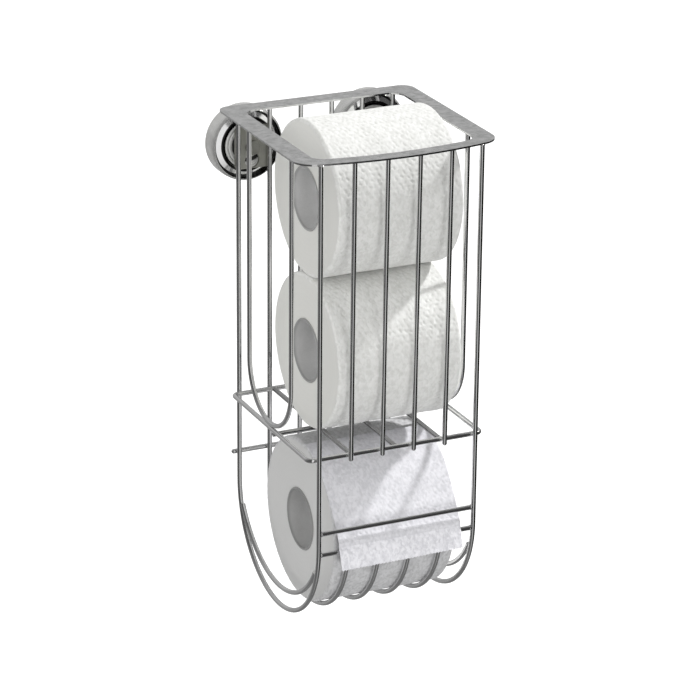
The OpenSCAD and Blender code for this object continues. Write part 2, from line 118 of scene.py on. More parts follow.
# ---------------------------------------------------------------- material helpers
class Nodes:
    """A small helper round one node tree."""

    def __init__(self, tree):
        self.tree = tree
        tree.nodes.clear()

    def add(self, kind, **settings):
        node = self.tree.nodes.new(kind)
        for name, value in settings.items():
            setattr(node, name, value)
        return node

    def link(self, a, b):
        self.tree.links.new(a, b)

    def math(self, op, a, b=None, c=None):
        node = self.add("ShaderNodeMath", operation=op)
        for i, value in enumerate((a, b, c)):
            if value is None:
                continue
            if isinstance(value, (int, float)):
                node.inputs[i].default_value = value
            else:
                self.link(value, node.inputs[i])
        return node.outputs[0]

    def mix(self, fac, a, b):
        node = self.add("ShaderNodeMix", data_type="RGBA")
        for slot, value in ((0, fac), (6, a), (7, b)):
            if isinstance(value, tuple):
                node.inputs[slot].default_value = (*value, 1.0)
            else:
                self.link(value, node.inputs[slot])
        return node.outputs[2]

    def ramp(self, fac, stops):
        node = self.add("ShaderNodeValToRGB")
        elements = node.color_ramp.elements
        while len(elements) < len(stops):
            elements.new(0.5)
        for element, (pos, value) in zip(elements, stops):
            element.position = pos
            colour = value if isinstance(value, tuple) else (value, value, value)
            element.color = (*colour, 1.0)
        self.link(fac, node.inputs[0])
        return node.outputs[0]

    def noise(self, vector, scale, detail=3.0, rough=0.5, distortion=0.0):
        node = self.add("ShaderNodeTexNoise")
        node.inputs["Scale"].default_value = scale
        node.inputs["Detail"].default_value = detail
        node.inputs["Roughness"].default_value = rough
        node.inputs["Distortion"].default_value = distortion
        self.link(vector, node.inputs["Vector"])
        return node.outputs[0]

    def coords(self, scale=(1, 1, 1)):
        tex = self.add("ShaderNodeTexCoord")
        mapping = self.add("ShaderNodeMapping")
        mapping.inputs["Scale"].default_value = scale
        self.link(tex.outputs["Object"], mapping.inputs["Vector"])
        return mapping.outputs[0]

    def bump(self, shader, height, strength, distance=0.0002):
        node = self.add("ShaderNodeBump")
        node.inputs["Strength"].default_value = strength
        node.inputs["Distance"].default_value = distance
        self.link(height, node.inputs["Height"])
        self.link(node.outputs[0], shader.inputs["Normal"])


def material(name):
    mat = bpy.data.materials.new(name)
    mat.use_nodes = True
    n = Nodes(mat.node_tree)
    out = n.add("ShaderNodeOutputMaterial")
    shader = n.add("ShaderNodeBsdfPrincipled")
    n.link(shader.outputs[0], out.inputs[0])
    return mat, n, shader


def chrome(name, low, high, rough, spread, scale, bump, worn=0.0, metallic=1.0):
    """Chrome plate: cloudy tone, roughness that varies, faint waves and small marks."""
    mat, n, shader = material(name)
    shader.inputs["Metallic"].default_value = metallic
    at = n.coords()
    cloud = n.noise(at, scale, 3.0, 0.55, 0.4)
    fine = n.noise(at, scale * 9.0, 4.0, 0.6)
    tone = n.ramp(cloud, [(0.3, low), (0.7, high)])
    if worn:
        marks = n.ramp(fine, [(0.66, 0.0), (0.74, 1.0)])
        tone = n.mix(n.math("MULTIPLY", marks, worn), tone, tuple(0.55 * v for v in low))
    n.link(tone, shader.inputs["Base Color"])
    r = n.math("MULTIPLY_ADD", cloud, spread, rough - spread / 2)
    n.link(n.math("MULTIPLY_ADD", fine, spread * 0.6, r), shader.inputs["Roughness"])
    n.bump(shader, n.noise(at, scale * 1.6, 2.0, 0.5), bump, 0.0004)
    return mat


def moulded(name, dark, light, rough, scale=220.0, bump=0.15, metallic=0.0):
    """Moulded plastic or rubber: a fine grain and a soft change of tone."""
    mat, n, shader = material(name)
    shader.inputs["Metallic"].default_value = metallic
    at = n.coords()
    grain = n.noise(at, scale * 8, 3.0, 0.6)
    cloud = n.noise(at, scale, 2.0, 0.5)
    n.link(n.ramp(cloud, [(0.3, dark), (0.7, light)]), shader.inputs["Base Color"])
    n.link(n.math("MULTIPLY_ADD", grain, 0.2, rough - 0.1), shader.inputs["Roughness"])
    n.bump(shader, grain, bump)
    return mat


def tissue(name, shade, light, fibre=0.25):
    """Embossed tissue: soft, matt, with crepe lines across the web and loose fibres."""
    mat, n, shader = material(name)
    shader.inputs["Specular IOR Level"].default_value = 0.15
    shader.inputs["Sheen Weight"].default_value = 0.12
    shader.inputs["Sheen Roughness"].default_value = 0.6
    at = n.coords()
    cloud = n.noise(at, 90.0, 4.0, 0.6)
    fibres = n.noise(n.coords((1.0, 1.6, 1.6)), 2600.0, 3.0, 0.65)
    mottle = n.noise(n.coords((1.0, 0.7, 0.7)), 420.0, 1.0, 0.5, 0.6)
    tone = n.math("ADD", n.math("MULTIPLY", cloud, 0.3), n.math("MULTIPLY", fibres, 0.2))
    tone = n.math("ADD", tone, n.math("MULTIPLY", mottle, 0.5))
    n.link(n.ramp(tone, [(0.41, shade), (0.57, light)]), shader.inputs["Base Color"])
    n.link(n.math("MULTIPLY_ADD", fibres, 0.1, 0.9), shader.inputs["Roughness"])
    crepe = n.noise(n.coords((0.35, 1.0, 1.0)), 1900.0, 2.0, 0.6, 0.3)
    height = n.math("ADD", n.math("MULTIPLY", crepe, 0.6), n.math("MULTIPLY", fibres, 0.4))
    n.bump(shader, height, fibre)
    return mat


def winding_end(name, centre, shade, light):
    """The end of a roll: the cut edges of the layers as fine rings, pressed unevenly."""
    mat, n, shader = material(name)
    shader.inputs["Specular IOR Level"].default_value = 0.12
    tex = n.add("ShaderNodeTexCoord")
    split = n.add("ShaderNodeSeparateXYZ")
    n.link(tex.outputs["Object"], split.inputs[0])
    y = n.math("SUBTRACT", split.outputs[1], centre[1] * MM)
    z = n.math("SUBTRACT", split.outputs[2], centre[2] * MM)
    radius = n.math("SQRT", n.math("ADD", n.math("POWER", y, 2.0), n.math("POWER", z, 2.0)))
    warp = n.noise(tex.outputs["Object"], 60.0, 3.0, 0.6)
    along = n.math("ADD", n.math("MULTIPLY", radius, 1500.0), n.math("MULTIPLY", warp, 5.0))
    fine = n.math("SINE", n.math("MULTIPLY", along, 6.283))
    slow = n.math("SINE", n.math("MULTIPLY", along, 1.1))
    rough = n.noise(tex.outputs["Object"], 1400.0, 3.0, 0.7)
    height = n.math("ADD", n.math("MULTIPLY", fine, 0.16), n.math("MULTIPLY", slow, 0.14))
    height = n.math("ADD", height, n.math("MULTIPLY", rough, 0.6))
    tone = n.math("MULTIPLY_ADD", height, 0.3, 0.4)
    n.link(n.ramp(tone, [(0.2, shade), (0.8, light)]), shader.inputs["Base Color"])
    n.link(n.math("MULTIPLY_ADD", rough, 0.08, 0.92), shader.inputs["Roughness"])
    n.bump(shader, height, 0.1)
    return mat


def cardboard(name, centre_x, shade=1.0):
    """Grey cardboard: fibres and a matt surface, with painted shade: the bore painted lighter deep inside,
    darker towards its ends, darkest at the cut ends.
    """
    mat, n, shader = material(name)
    shader.inputs["Specular IOR Level"].default_value = 0.2
    tex = n.add("ShaderNodeTexCoord")
    split = n.add("ShaderNodeSeparateXYZ")
    n.link(tex.outputs["Object"], split.inputs[0])
    depth = n.math("ABSOLUTE", n.math("SUBTRACT", split.outputs[0], centre_x * MM))
    # Painted light and shade along the bore, from light deep inside to dark at the cut ends; shade darkens
    # the outer part
    bore_painted_shade = n.ramp(n.math("MULTIPLY", depth, 2 / (ROLL_W * MM)),
                  [(0.0, 0.9), (0.6, 0.86 * shade), (0.96, 0.62 * shade), (0.995, 0.42 * shade)])
    fibres = n.noise(n.coords((1.0, 3.0, 3.0)), 900.0, 4.0, 0.7)
    cloud = n.noise(n.coords(), 120.0, 3.0, 0.6)
    spots = n.math("ADD", n.math("MULTIPLY", fibres, 0.5), n.math("MULTIPLY", cloud, 0.5))
    worn = n.ramp(spots, [(0.35, 0.86), (0.65, 1.0)])
    blend = n.add("ShaderNodeMix", data_type="RGBA", blend_type="MULTIPLY")
    blend.inputs[0].default_value = 1.0
    n.link(bore_painted_shade, blend.inputs[6])
    n.link(worn, blend.inputs[7])
    n.link(blend.outputs[2], shader.inputs["Base Color"])
    n.link(n.math("MULTIPLY_ADD", fibres, 0.15, 0.82), shader.inputs["Roughness"])
    n.bump(shader, fibres, 0.2)
    return mat


wire_chrome = chrome("wire_chrome", (0.76, 0.76, 0.76), (0.88, 0.88, 0.88), 0.07, 0.05, 45.0, 0.03, 0.15)
low_chrome = chrome("low_chrome", (0.4, 0.4, 0.4), (0.52, 0.52, 0.52), 0.1, 0.06, 60.0, 0.04, 0.2)
ring_chrome = chrome("ring_chrome", (0.55, 0.555, 0.55), (0.82, 0.82, 0.82), 0.12, 0.08, 190.0, 0.08, 0.08)
mount_chrome = chrome("mount_chrome", (0.8, 0.8, 0.78), (0.96, 0.96, 0.95), 0.08, 0.05, 110.0, 0.05, 0.1,
                      metallic=0.78)
# Painted reflections for the twist rings: a bright copy of the chrome for the band between the slots, a
# near-black one for the slots
mount_painted_highlight = chrome("mount_painted_highlight", (0.9, 0.9, 0.9), (0.99, 0.99, 0.99), 0.1, 0.05, 70.0, 0.03)
mount_painted_dark = chrome("mount_painted_dark", (0.03, 0.03, 0.03), (0.07, 0.07, 0.07), 0.1, 0.05, 50.0, 0.04)
mount_satin = chrome("mount_satin", (0.8, 0.8, 0.79), (0.97, 0.97, 0.96), 0.3, 0.1, 70.0, 0.05,
                     metallic=0.3)
post_chrome = chrome("post_chrome", (0.26, 0.26, 0.24), (0.38, 0.38, 0.35), 0.18, 0.1, 90.0, 0.1, 0.2)
plate_satin = moulded("plate_satin", (0.25, 0.25, 0.22), (0.36, 0.36, 0.33), 0.34, 60.0, 0.1, metallic=0.35)
housing_plastic = moulded("housing_plastic", (0.5, 0.51, 0.49), (0.6, 0.61, 0.58), 0.3)
trim_plastic = moulded("trim_plastic", (0.012, 0.012, 0.012), (0.03, 0.03, 0.03), 0.22, 120.0, 0.05)
plug_plastic = moulded("plug_plastic", (0.5, 0.5, 0.5), (0.6, 0.6, 0.6), 0.4)
pad_rubber = moulded("pad_rubber", (0.1, 0.1, 0.11), (0.16, 0.16, 0.17), 0.5)


def paint(names, mat):
    """Gives solids of the frame a finish."""
    for name in names:
        obj = nodes[name]
        obj.data.materials.clear()
        obj.data.materials.append(mat)


paint([n for n in nodes if "wire" in n or "hoop" in n or "guard" in n or "bar" in n or n == "floor_loop"],
      wire_chrome)
# Painted shade: the floor bars take a darker copy of the wire chrome, for the shade under the rolls
paint(["floor_bar_1", "floor_bar_2", "floor_bar_3", "floor_cross_bar"], low_chrome)
paint(["top_ring"], ring_chrome)
paint(["left_hanger_plate", "right_hanger_plate"], plate_satin)
paint(["left_twist_ring", "right_twist_ring"], mount_chrome)
paint(["left_hanger_post", "right_hanger_post"], post_chrome)
paint(["left_mount_housing", "right_mount_housing"], housing_plastic)
paint(["left_pad_plug", "right_pad_plug"], plug_plastic)
paint(["left_suction_pad", "right_suction_pad"], pad_rubber)
# Painted light and shade per core: lighter for the top roll, darker for the used roll, which lies in the
# rack's shade
for key, shade in (("top_roll", 1.06), ("middle_roll", 0.96), ("used_roll", 0.82)):
    paint([key + "_core"], cardboard(key + "_core_cardboard", ROLLS[key]["centre"][0], shade))


# ---------------------------------------------------------------- mesh helpers
def mesh_object(name, verts, faces, mats, index=None, smooth=True):
    mesh = bpy.data.meshes.new(name)
    mesh.from_pydata([tuple(v) for v in verts], [], [tuple(int(i) for i in f) for f in faces])
    for mat in mats:
        mesh.materials.append(mat)
    if index is not None:
        mesh.polygons.foreach_set("material_index", np.asarray(index, np.int32))
    mesh.polygons.foreach_set("use_smooth", [smooth] * len(mesh.polygons))
    mesh.update()
    obj = bpy.data.objects.new(name, mesh)
    bpy.context.scene.collection.objects.link(obj)
    return obj


def value_noise(x, y, seed, period=None):
    """Smooth noise between -1 and 1 on a lattice of ones; it repeats in y after period."""
    table = np.random.default_rng(seed).uniform(-1, 1, (64, 64))
    xi, yi = np.floor(x).astype(int), np.floor(y).astype(int)
    xf, yf = x - xi, y - yi
    xf, yf = xf * xf * (3 - 2 * xf), yf * yf * (3 - 2 * yf)
    wrap = (lambda v: v % period) if period else (lambda v: v)

    def at(i, j):
        return table[i % 64, wrap(j) % 64]

    low = at(xi, yi) * (1 - xf) + at(xi + 1, yi) * xf
    high = at(xi, yi + 1) * (1 - xf) + at(xi + 1, yi + 1) * xf
    return low * (1 - yf) + high * yf


CELL = 0.3      # cell of an emboss map, mm
STAMP = 11      # reach of one pressed mark, in cells
JITTER = 0.5    # how far a mark strays from its place, mm
SLANTS = (-46, 38, 72)


def emboss_map(width, length, seed, wrap, pitch=(4.3, 3.7), mark=(1.35, 0.66)):
    """Height map of pressed dashes: rows of short slanted pits, each row set off by half."""
    rng = np.random.default_rng(seed)
    nx, ny = int(round(width / CELL)), int(round(length / CELL))
    out = np.zeros((nx, ny))
    rows = 2 * int(round(length / pitch[1] / 2))
    cols = int(round(width / pitch[0]))
    reach = np.arange(-STAMP, STAMP + 1)
    for j in range(rows):
        for i in range(-1, cols + 1):
            cx = ((i + 0.5 * (j % 2) + 0.25) * width / cols + rng.normal(0, JITTER)) / CELL
            cy = ((j + 0.5) * length / rows + rng.normal(0, JITTER)) / CELL
            slant = math.radians(rng.choice(SLANTS) + rng.normal(0, 16))
            depth = rng.uniform(0.45, 1.0)
            bow = rng.uniform(-0.22, 0.22)
            ix, iy = int(round(cx)), int(round(cy))
            gx = (reach + ix - cx)[:, None] * CELL
            gy = (reach + iy - cy)[None, :] * CELL
            a = gx * math.cos(slant) + gy * math.sin(slant)
            b = -gx * math.sin(slant) + gy * math.cos(slant) - bow * a * a
            stamp = depth * np.exp(-(a / mark[0]) ** 4 - (b / mark[1]) ** 2)
            xs = reach + ix
            ok = (xs >= 0) & (xs < nx)
            ys = (reach + iy) % ny if wrap else reach + iy
            oky = (ys >= 0) & (ys < ny)
            sub = np.ix_(xs[ok], ys[oky])
            out[sub] = np.maximum(out[sub], stamp[ok][:, oky])
    return out


def sample(height, x, y, wrap):
    """Reads a height map at places in mm, blended between its cells."""
    nx, ny = height.shape
    fx = np.clip(x / CELL - 0.5, 0, nx - 1.001)
    fy = y / CELL - 0.5
    if not wrap:
        fy = np.clip(fy, 0, ny - 1.001)
    ix, iy = np.floor(fx).astype(int), np.floor(fy).astype(int)
    tx, ty = fx - ix, fy - iy
    jx, jy = np.minimum(ix + 1, nx - 1), iy + 1
    if wrap:
        iy, jy = iy % ny, jy % ny
    else:
        jy = np.minimum(jy, ny - 1)
    return ((height[ix, iy] * (1 - tx) + height[jx, iy] * tx) * (1 - ty)
            + (height[ix, jy] * (1 - tx) + height[jx, jy] * tx) * ty)


# ---------------------------------------------------------------- paper rolls
def soft_min(a, b, k):
    """The smaller of two values, with a soft change from one to the other."""
    h = np.clip(0.5 + 0.5 * (b - a) / k, 0, 1)
    return b * (1 - h) + a * h - k * h * (1 - h)


def pressed(radius, angle, at, reach):
    """Radius of a soft roll that lies against a plane, reach away at the given angle."""
    facing = np.cos(angle - at)
    return np.where(facing > 0.5, soft_min(radius, reach / np.maximum(facing, 0.5), 0.25), radius)


def rest_shape(key, T, X, radius):
    """How the rolls flatten where they lie on one another, on the bars and on the cradle."""
    _, cy, cz = ROLLS[key]["centre"]
    if key in ("top_roll", "middle_roll"):
        other = ROLLS["middle_roll" if key == "top_roll" else "top_roll"]["centre"]
        dy, dz = other[1] - cy, other[2] - cz
        radius = pressed(radius, T, math.atan2(dz, dy), math.hypot(dy, dz) / 2 - 0.04)
    if key == "middle_roll":
        x = X + ROLLS[key]["centre"][0]
        near = np.min([np.abs(x - bar) for bar in BARS_X], axis=0)
        sag = 0.75 * np.clip((near - WIRE_R - 1.0) / 9.0, 0, 1) ** 1.5
        radius = pressed(radius + sag * np.clip(-np.sin(T), 0, 1) ** 8, T, -math.pi / 2,
                         cz - FLOOR_Z - WIRE_R - 0.05 + sag)
    return radius


TURN_STEPS, SKIN_STEPS, FACE_STEPS = 560, 156, 36
EDGE_R = 2.2    # rounding of a roll's edge
EMBOSS = 0.62   # depth of the pressed marks
SLACK = 0.25    # how far the paper lies inside the full radius where it isn't pressed


def roll_profile(r):
    """Outline of a roll as x, radius and kind: bore, left face and edge, outside, right edge and face."""
    half = ROLL_W / 2
    left = [(-half + 1.2, CORE_R + 0.03, "face")]
    left += [(-half, v, "face") for v in np.linspace(CORE_R + 0.06, r - EDGE_R - 0.3, FACE_STEPS)]
    left += [(-half + EDGE_R * (1 - math.cos(a)), r - EDGE_R + EDGE_R * math.sin(a), "edge")
             for a in np.radians([15, 32, 50, 66, 80])]
    skin = [(v, r, "skin") for v in np.linspace(-half + EDGE_R, half - EDGE_R, SKIN_STEPS)]
    line = left + skin + [(-x, v, kind) for x, v, kind in left][::-1]
    return [np.array(column) for column in zip(*line)]


def skin_radius(key, X, T, R, s, r, on_skin):
    """Radius of the outside: pressed marks, soft swells, creases, and the places the roll lies on."""
    seed, girth = ROLLS[key]["seed"], 2 * math.pi * r
    marks = sample(emboss_map(ROLL_W, girth, seed, True), X + ROLL_W / 2, s, True)
    edge_w = np.clip((ROLL_W / 2 - np.abs(X)) / 3.2, 0, 1)
    outer = np.clip((R - CORE_R) / (r - CORE_R), 0, 1)
    soft = value_noise(X / 19.0 + 3, s / girth * 11, seed + 1, 11) * 0.2
    crease = value_noise(X / 6.0, s / girth * 30, seed + 2, 30) * 0.07
    free = R - on_skin * edge_w * marks * EMBOSS + (soft + crease - SLACK) * outer ** 6
    rested = rest_shape(key, T, X, free)
    return R + (rested - R) * np.where(outer > 0.6, 1.0, 0.0)


def end_places(key, X, T, R, s, r, on_face, on_edge):
    """Places along X: at the ends, layers that stand a little proud or back, and a frayed edge."""
    seed, girth = ROLLS[key]["seed"], 2 * math.pi * r
    turns = R + T / (2 * math.pi) * 1.4
    ripple = value_noise(turns / 1.3, s / girth * 8, seed + 3, 8) * 0.05
    ripple += value_noise(turns / 6.0, s / girth * 5, seed + 4, 5) * 0.16
    dish = -0.25 * np.clip((r - R) / (r - CORE_R), 0, 1)
    X = X + np.sign(X) * on_face * (ripple + dish - 0.18)
    frayed = on_edge * value_noise(s / 2.3, s / 1.9, seed + 5) * 0.08
    return X - np.sign(X) * np.abs(frayed)


def roll_mesh(key, skin_mat, end_mat, plump):
    """One roll: embossed outside with soft edges, wound end faces and a bore."""
    cx, cy, cz = ROLLS[key]["centre"]
    r = ROLLS[key]["r"] + plump
    px, pr, kind = roll_profile(r)
    theta = np.arange(TURN_STEPS) * 2 * math.pi / TURN_STEPS
    X, T = np.meshgrid(px, theta, indexing="ij")
    s = T / (2 * math.pi) * (2 * math.pi * r)
    on_skin, on_face, on_edge = ((kind == k)[:, None] * np.ones_like(X) for k in ("skin", "face", "edge"))
    R = skin_radius(key, X, T, np.repeat(pr[:, None], TURN_STEPS, 1), s, r, on_skin)
    X = end_places(key, X, T, R, s, r, on_face, on_edge)
    verts = np.stack([X + cx, cy + R * np.cos(T), cz + R * np.sin(T)], -1).reshape(-1, 3) * MM
    count = len(px)
    i, j = np.meshgrid(np.arange(count), np.arange(TURN_STEPS), indexing="ij")
    following, beside = (i + 1) % count * TURN_STEPS, (j + 1) % TURN_STEPS
    corners = [i * TURN_STEPS + j, following + j, following + beside, i * TURN_STEPS + beside]
    quads = np.stack(corners, -1).reshape(-1, 4)
    is_face = np.repeat(((kind == "face") & (np.roll(kind, -1) == "face")).astype(int), TURN_STEPS)
    obj = mesh_object(key + "_winding", verts, quads, [skin_mat, end_mat], is_face)
    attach(obj, key)
    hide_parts(key + "_paper")


# Painted light and shade: the used roll's tissue is a darker copy of the spare rolls' tissue, its wound sheet
# a little darker, the hanging flap a lighter copy
tissue_spare = tissue("tissue_spare", (0.755, 0.757, 0.737), (0.865, 0.867, 0.853))
tissue_used_shaded = tissue("tissue_used_shaded", (0.54, 0.54, 0.548), (0.7, 0.7, 0.715))
tissue_loose_shaded = tissue("tissue_loose_shaded", (0.7, 0.698, 0.735), (0.83, 0.825, 0.866))
tissue_flap_lit = tissue("tissue_flap_lit", (0.76, 0.757, 0.8), (0.96, 0.955, 1.0), 0.35)
# Painted shade: the used roll's ends are a darker copy of the spare rolls' ends
END_SPARE, END_USED_SHADED = (0.84, 0.84, 0.815), (0.7, 0.7, 0.7)
for key, skin_mat, plump, tint in (("top_roll", tissue_spare, 0.6, END_SPARE),
                                   ("middle_roll", tissue_spare, 0.6, END_SPARE),
                                   ("used_roll", tissue_used_shaded, 0.1, END_USED_SHADED)):
    end = winding_end(key + "_end", ROLLS[key]["centre"], tuple(0.94 * v for v in tint), tint)
    roll_mesh(key, skin_mat, end, plump)


# ---------------------------------------------------------------- loose sheet
def smooth_path(points, per_leg=24):
    """A smooth line through the points, at even steps in each leg."""
    ends = [2 * points[0] - points[1]] + list(points) + [2 * points[-1] - points[-2]]
    out = [points[0]]
    for a, b, c, d in zip(ends, ends[1:], ends[2:], ends[3:]):
        for t in np.linspace(0, 1, per_leg + 1)[1:]:
            out.append(0.5 * (2 * b + (c - a) * t + (2 * a - 5 * b + 4 * c - d) * t * t
                              + (3 * b - a - 3 * c + d) * t ** 3))
    return np.array(out)


FOLD = (-1.6, 3.8)      # where the sheet turns down over the lower tear bar, from the bar's axis
ALONG, ACROSS = 190, 156
SHEET_T = 0.2
SHEET_EMBOSS = 0.68


def sheet_line():
    """Middle line of the loose sheet, as (y, z): round the roll, straight to the bars, over the lower one."""
    centre, roll_r = ROLLS["used_roll"]["centre"][1:], ROLLS["used_roll"]["r"] + 0.65
    bar = TEAR_LOW[1:]
    turn = np.radians(np.linspace(97, 142.5, 70))
    wound = centre + roll_r * np.stack([np.cos(turn), np.sin(turn)], -1)
    away = [bar + np.array(v) for v in ((6.6, 16.2), (3.2, 11.4), (0.7, 8.6), (-1.1, 6.4), FOLD,
                                        (-3.0, 1.2), (-4.3, -2.6), (-5.4, -6.8), (-6.6, -11.4))]
    pulled = wound[-1] + (away[0] - wound[-1]) * np.array([[0.0], [0.33], [0.66]])
    return np.concatenate([wound[:-1], smooth_path(list(pulled) + away)])


def sheet_lift(U, V, length):
    """How far the sheet stands off its middle line: pressed marks, a wave and a turned-up corner."""
    marks = sample(emboss_map(ROLL_W, length, 91, False, pitch=(3.8, 3.2), mark=(1.25, 0.68)), U, V, False)
    free = np.clip((V - (length - 15)) / 15, 0, 1)
    over = np.clip((V - (length - 40)) / 25, 0, 1)
    wave = (0.35 * np.sin(U / ROLL_W * 5.2 + 0.8) + 0.25 * value_noise(U / 15.0, V / 30.0, 5)) * free
    corner = 0.9 * np.clip((14 - U) / 14, 0, 1) ** 2 * free
    return 0.05 - SHEET_EMBOSS * marks * (0.4 + 0.6 * over + 0.35 * free) + wave * 0.8 + corner


def torn_edge(U, V, length):
    """How far the end reaches past its line: short teeth of the perforation, and a slant."""
    free = np.clip((V - (length - 15)) / 15, 0, 1)
    teeth = 0.22 * np.sign(np.sin(U * 2.6)) + 0.1 * value_noise(U / 1.1, V, 8)
    return np.where(V > length - 0.5, teeth, 0) - 0.9 * np.clip((U - ROLL_W * 0.45) / ROLL_W, 0, 1) * free


def sheet_points():
    """Outer and inner face of the sheet as grids of points, with the steps and points of its middle line."""
    path = sheet_line()
    step = np.r_[0, np.cumsum(np.linalg.norm(np.diff(path, axis=0), axis=1))]
    length = step[-1]
    along, u = np.linspace(0, length, ALONG), np.linspace(0, ROLL_W, ACROSS)
    yz = np.stack([np.interp(along, step, path[:, k]) for k in (0, 1)], -1)
    tang = np.gradient(yz, along, axis=0)
    tang /= np.linalg.norm(tang, axis=1)[:, None]
    norm = np.stack([tang[:, 1], -tang[:, 0]], -1)
    if np.dot(norm[0], yz[0] - ROLLS["used_roll"]["centre"][1:]) < 0:  # the outside looks away from the roll
        norm = -norm
    U, V = np.meshgrid(u, along, indexing="ij")
    off, past = sheet_lift(U, V, length), torn_edge(U, V, length)
    yc, zc = (yz[None, :, k] + norm[None, :, k] * off + tang[None, :, k] * past for k in (0, 1))
    # The free end hangs a little to the left of the roll
    drift = -1.2 * np.clip((V - (length - 40)) / 25, 0, 1) ** 2
    x = (u - ROLL_W / 2 + ROLLS["used_roll"]["centre"][0])[:, None] + drift
    x = x + value_noise(V / 2.0, U / 40, 6) * 0.06
    outer = np.stack([x, yc, zc], -1)
    inner = np.stack([x, yc - norm[None, :, 0] * SHEET_T, zc - norm[None, :, 1] * SHEET_T], -1)
    fold = step[np.argmin(np.linalg.norm(path - (TEAR_LOW[1:] + np.array(FOLD)), axis=1))]
    return outer, inner, along, fold


def sheet_faces(along, fold):
    """Faces of both sides and of the rim between them; those past the fold take the second tissue, painted
    lighter.
    """
    size = ACROSS * ALONG
    faces, flap = [], []
    for i in range(ACROSS - 1):
        for j in range(ALONG - 1):
            a, b = i * ALONG + j, (i + 1) * ALONG + j
            faces += [(a, a + 1, b + 1, b), (size + a, size + b, size + b + 1, size + a + 1)]
            flap += [int(along[j] > fold)] * 2
    rim = [(i, 0) for i in range(ACROSS)] + [(ACROSS - 1, j) for j in range(1, ALONG)]
    rim += [(i, ALONG - 1) for i in range(ACROSS - 2, -1, -1)] + [(0, j) for j in range(ALONG - 2, 0, -1)]
    ids = [i * ALONG + j for i, j in rim]
    faces += [(a, b, size + b, size + a) for a, b in zip(ids, ids[1:] + ids[:1])]
    return faces, flap + [1] * len(ids)


def loose_sheet():
    """The end of the roll, one embossed sheet of two layers."""
    outer, inner, along, fold = sheet_points()
    verts = np.concatenate([outer.reshape(-1, 3), inner.reshape(-1, 3)]) * MM
    faces, flap = sheet_faces(along, fold)
    obj = mesh_object("loose_end", verts, faces, [tissue_loose_shaded, tissue_flap_lit], flap)
    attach(obj, "rack")
    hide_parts("loose_sheet")


loose_sheet()


# ---------------------------------------------------------------- wall mounts
def lathe(profile, centre_x, parts=144, start=0.0, end=360.0):
    """Vertices and faces of a closed outline (radius, distance from the wall) turned round a mount's axis."""
    whole = end - start >= 360
    steps = parts if whole else parts + 1
    verts, faces = [], []
    count = len(profile)
    for j in range(steps):
        a = math.radians(start + (end - start) * j / parts)
        for r, d in profile:
            verts.append(((centre_x + r * math.cos(a)) * MM, -d * MM, r * math.sin(a) * MM))
    for j in range(parts):
        k = (j + 1) % steps
        for i in range(count):
            m = (i + 1) % count
            faces.append((j * count + i, j * count + m, k * count + m, k * count + i))
    if not whole:
        faces.append(tuple(range(count)))
        faces.append(tuple(range((steps - 1) * count, steps * count))[::-1])
    return verts, faces


def rounded(points, cut=0.35, steps=3):
    """The outline with its corners rounded off by short curves."""
    out = []
    count = len(points)
    for i, b in enumerate(points):
        a, b, c = (np.array(points[k % count], float) for k in (i - 1, i, i + 1))
        before, after = np.linalg.norm(a - b), np.linalg.norm(c - b)
        p = b + (a - b) / before * min(cut, before * 0.45)
        q = b + (c - b) / after * min(cut, after * 0.45)
        for t in np.linspace(0, 1, steps):
            out.append(tuple((1 - t) ** 2 * p + 2 * t * (1 - t) * b + t * t * q))
    return out


HOLLOW = 4.5            # how deep behind the front the hollow of a twist ring reaches
OUTER_SLOT, INNER_SLOT = (1.75, 3.3), (6.7, 9.5)


def slot_tint(verts, face, x):
    """Material of a face: painted dark reflection in the two slots, a painted highlight between them, satin
    inside, else the shell's.
    """
    mid = np.mean([verts[v] for v in face], axis=0) / MM
    inset = TWIST_R - math.hypot(mid[0] - x, mid[2])
    if -mid[1] < TWIST_FRONT - HOLLOW or inset <= OUTER_SLOT[0]:
        return 0
    if inset > INNER_SLOT[1]:
        return 3
    return 2 if OUTER_SLOT[1] <= inset <= INNER_SLOT[0] else 1


def ring_profile(bore):
    """Outline of a twist ring as radius and distance from the wall."""
    r, front, back = TWIST_R, TWIST_FRONT, TWIST_BACK
    hollow = r - 1.8
    shell = [(hollow, back), (r - 0.25, back), (r + 0.05, back + 0.6), (r + 0.1, back + 4.2),
             (r + 0.1, back + 8.5), (r - 0.08, back + 11), (r - 0.45, back + 12.8), (r - 0.95, front - 1.0),
             (r - 1.3, front - 0.35)]
    groove = [(r - 1.65, front - 0.05), (r - 1.9, front - 0.3), (r - 2.1, front - 2.4),
              (r - 2.6, front - 3.0), (r - 3.3, front - 2.76), (r - 5.0, front - 2.17),
              (r - 6.7, front - 1.58), (r - 7.4, front - 1.3), (r - 7.7, front - 1.5),
              (r - 7.9, front - 3.6), (r - 9.3, front - 3.6)]
    rim = [(r - 9.5, front - 0.6), (r - 9.8, front - 0.15), (r - 10.4, front), (r - 11.0, front - 0.1),
           (bore, front - 0.5)]
    web = [(bore, front - 4.8), (hollow, front - 4.8)]
    return rounded(shell + groove + rim + web)


def twist_ring(side, x):
    """The twist ring: a domed shell, a hollow with two slots painted dark and a band painted bright between
    them, a satin inner rim and two ledges.
    """
    bore = NECK_R + 0.08
    verts, faces = lathe(ring_profile(bore), x)
    tints = [slot_tint(verts, f, x) for f in faces]
    ledge = [(bore, 5.2), (TWIST_R - 0.9, 5.2), (TWIST_R - 0.9, 6.6), (bore, 6.6)]
    for start in (-10, 170):
        more, add = lathe(ledge, x, 28, -start, -start - 110)
        faces += [tuple(v + len(verts) for v in f) for f in add]
        tints += [0] * len(add)
        verts += more
    mats = [mount_chrome, mount_painted_dark, mount_painted_highlight, mount_satin]
    obj = mesh_object(side + "_twist_shell", verts, faces, mats, tints)
    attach(obj, side + "_twist")
    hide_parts(side + "_twist_ring")


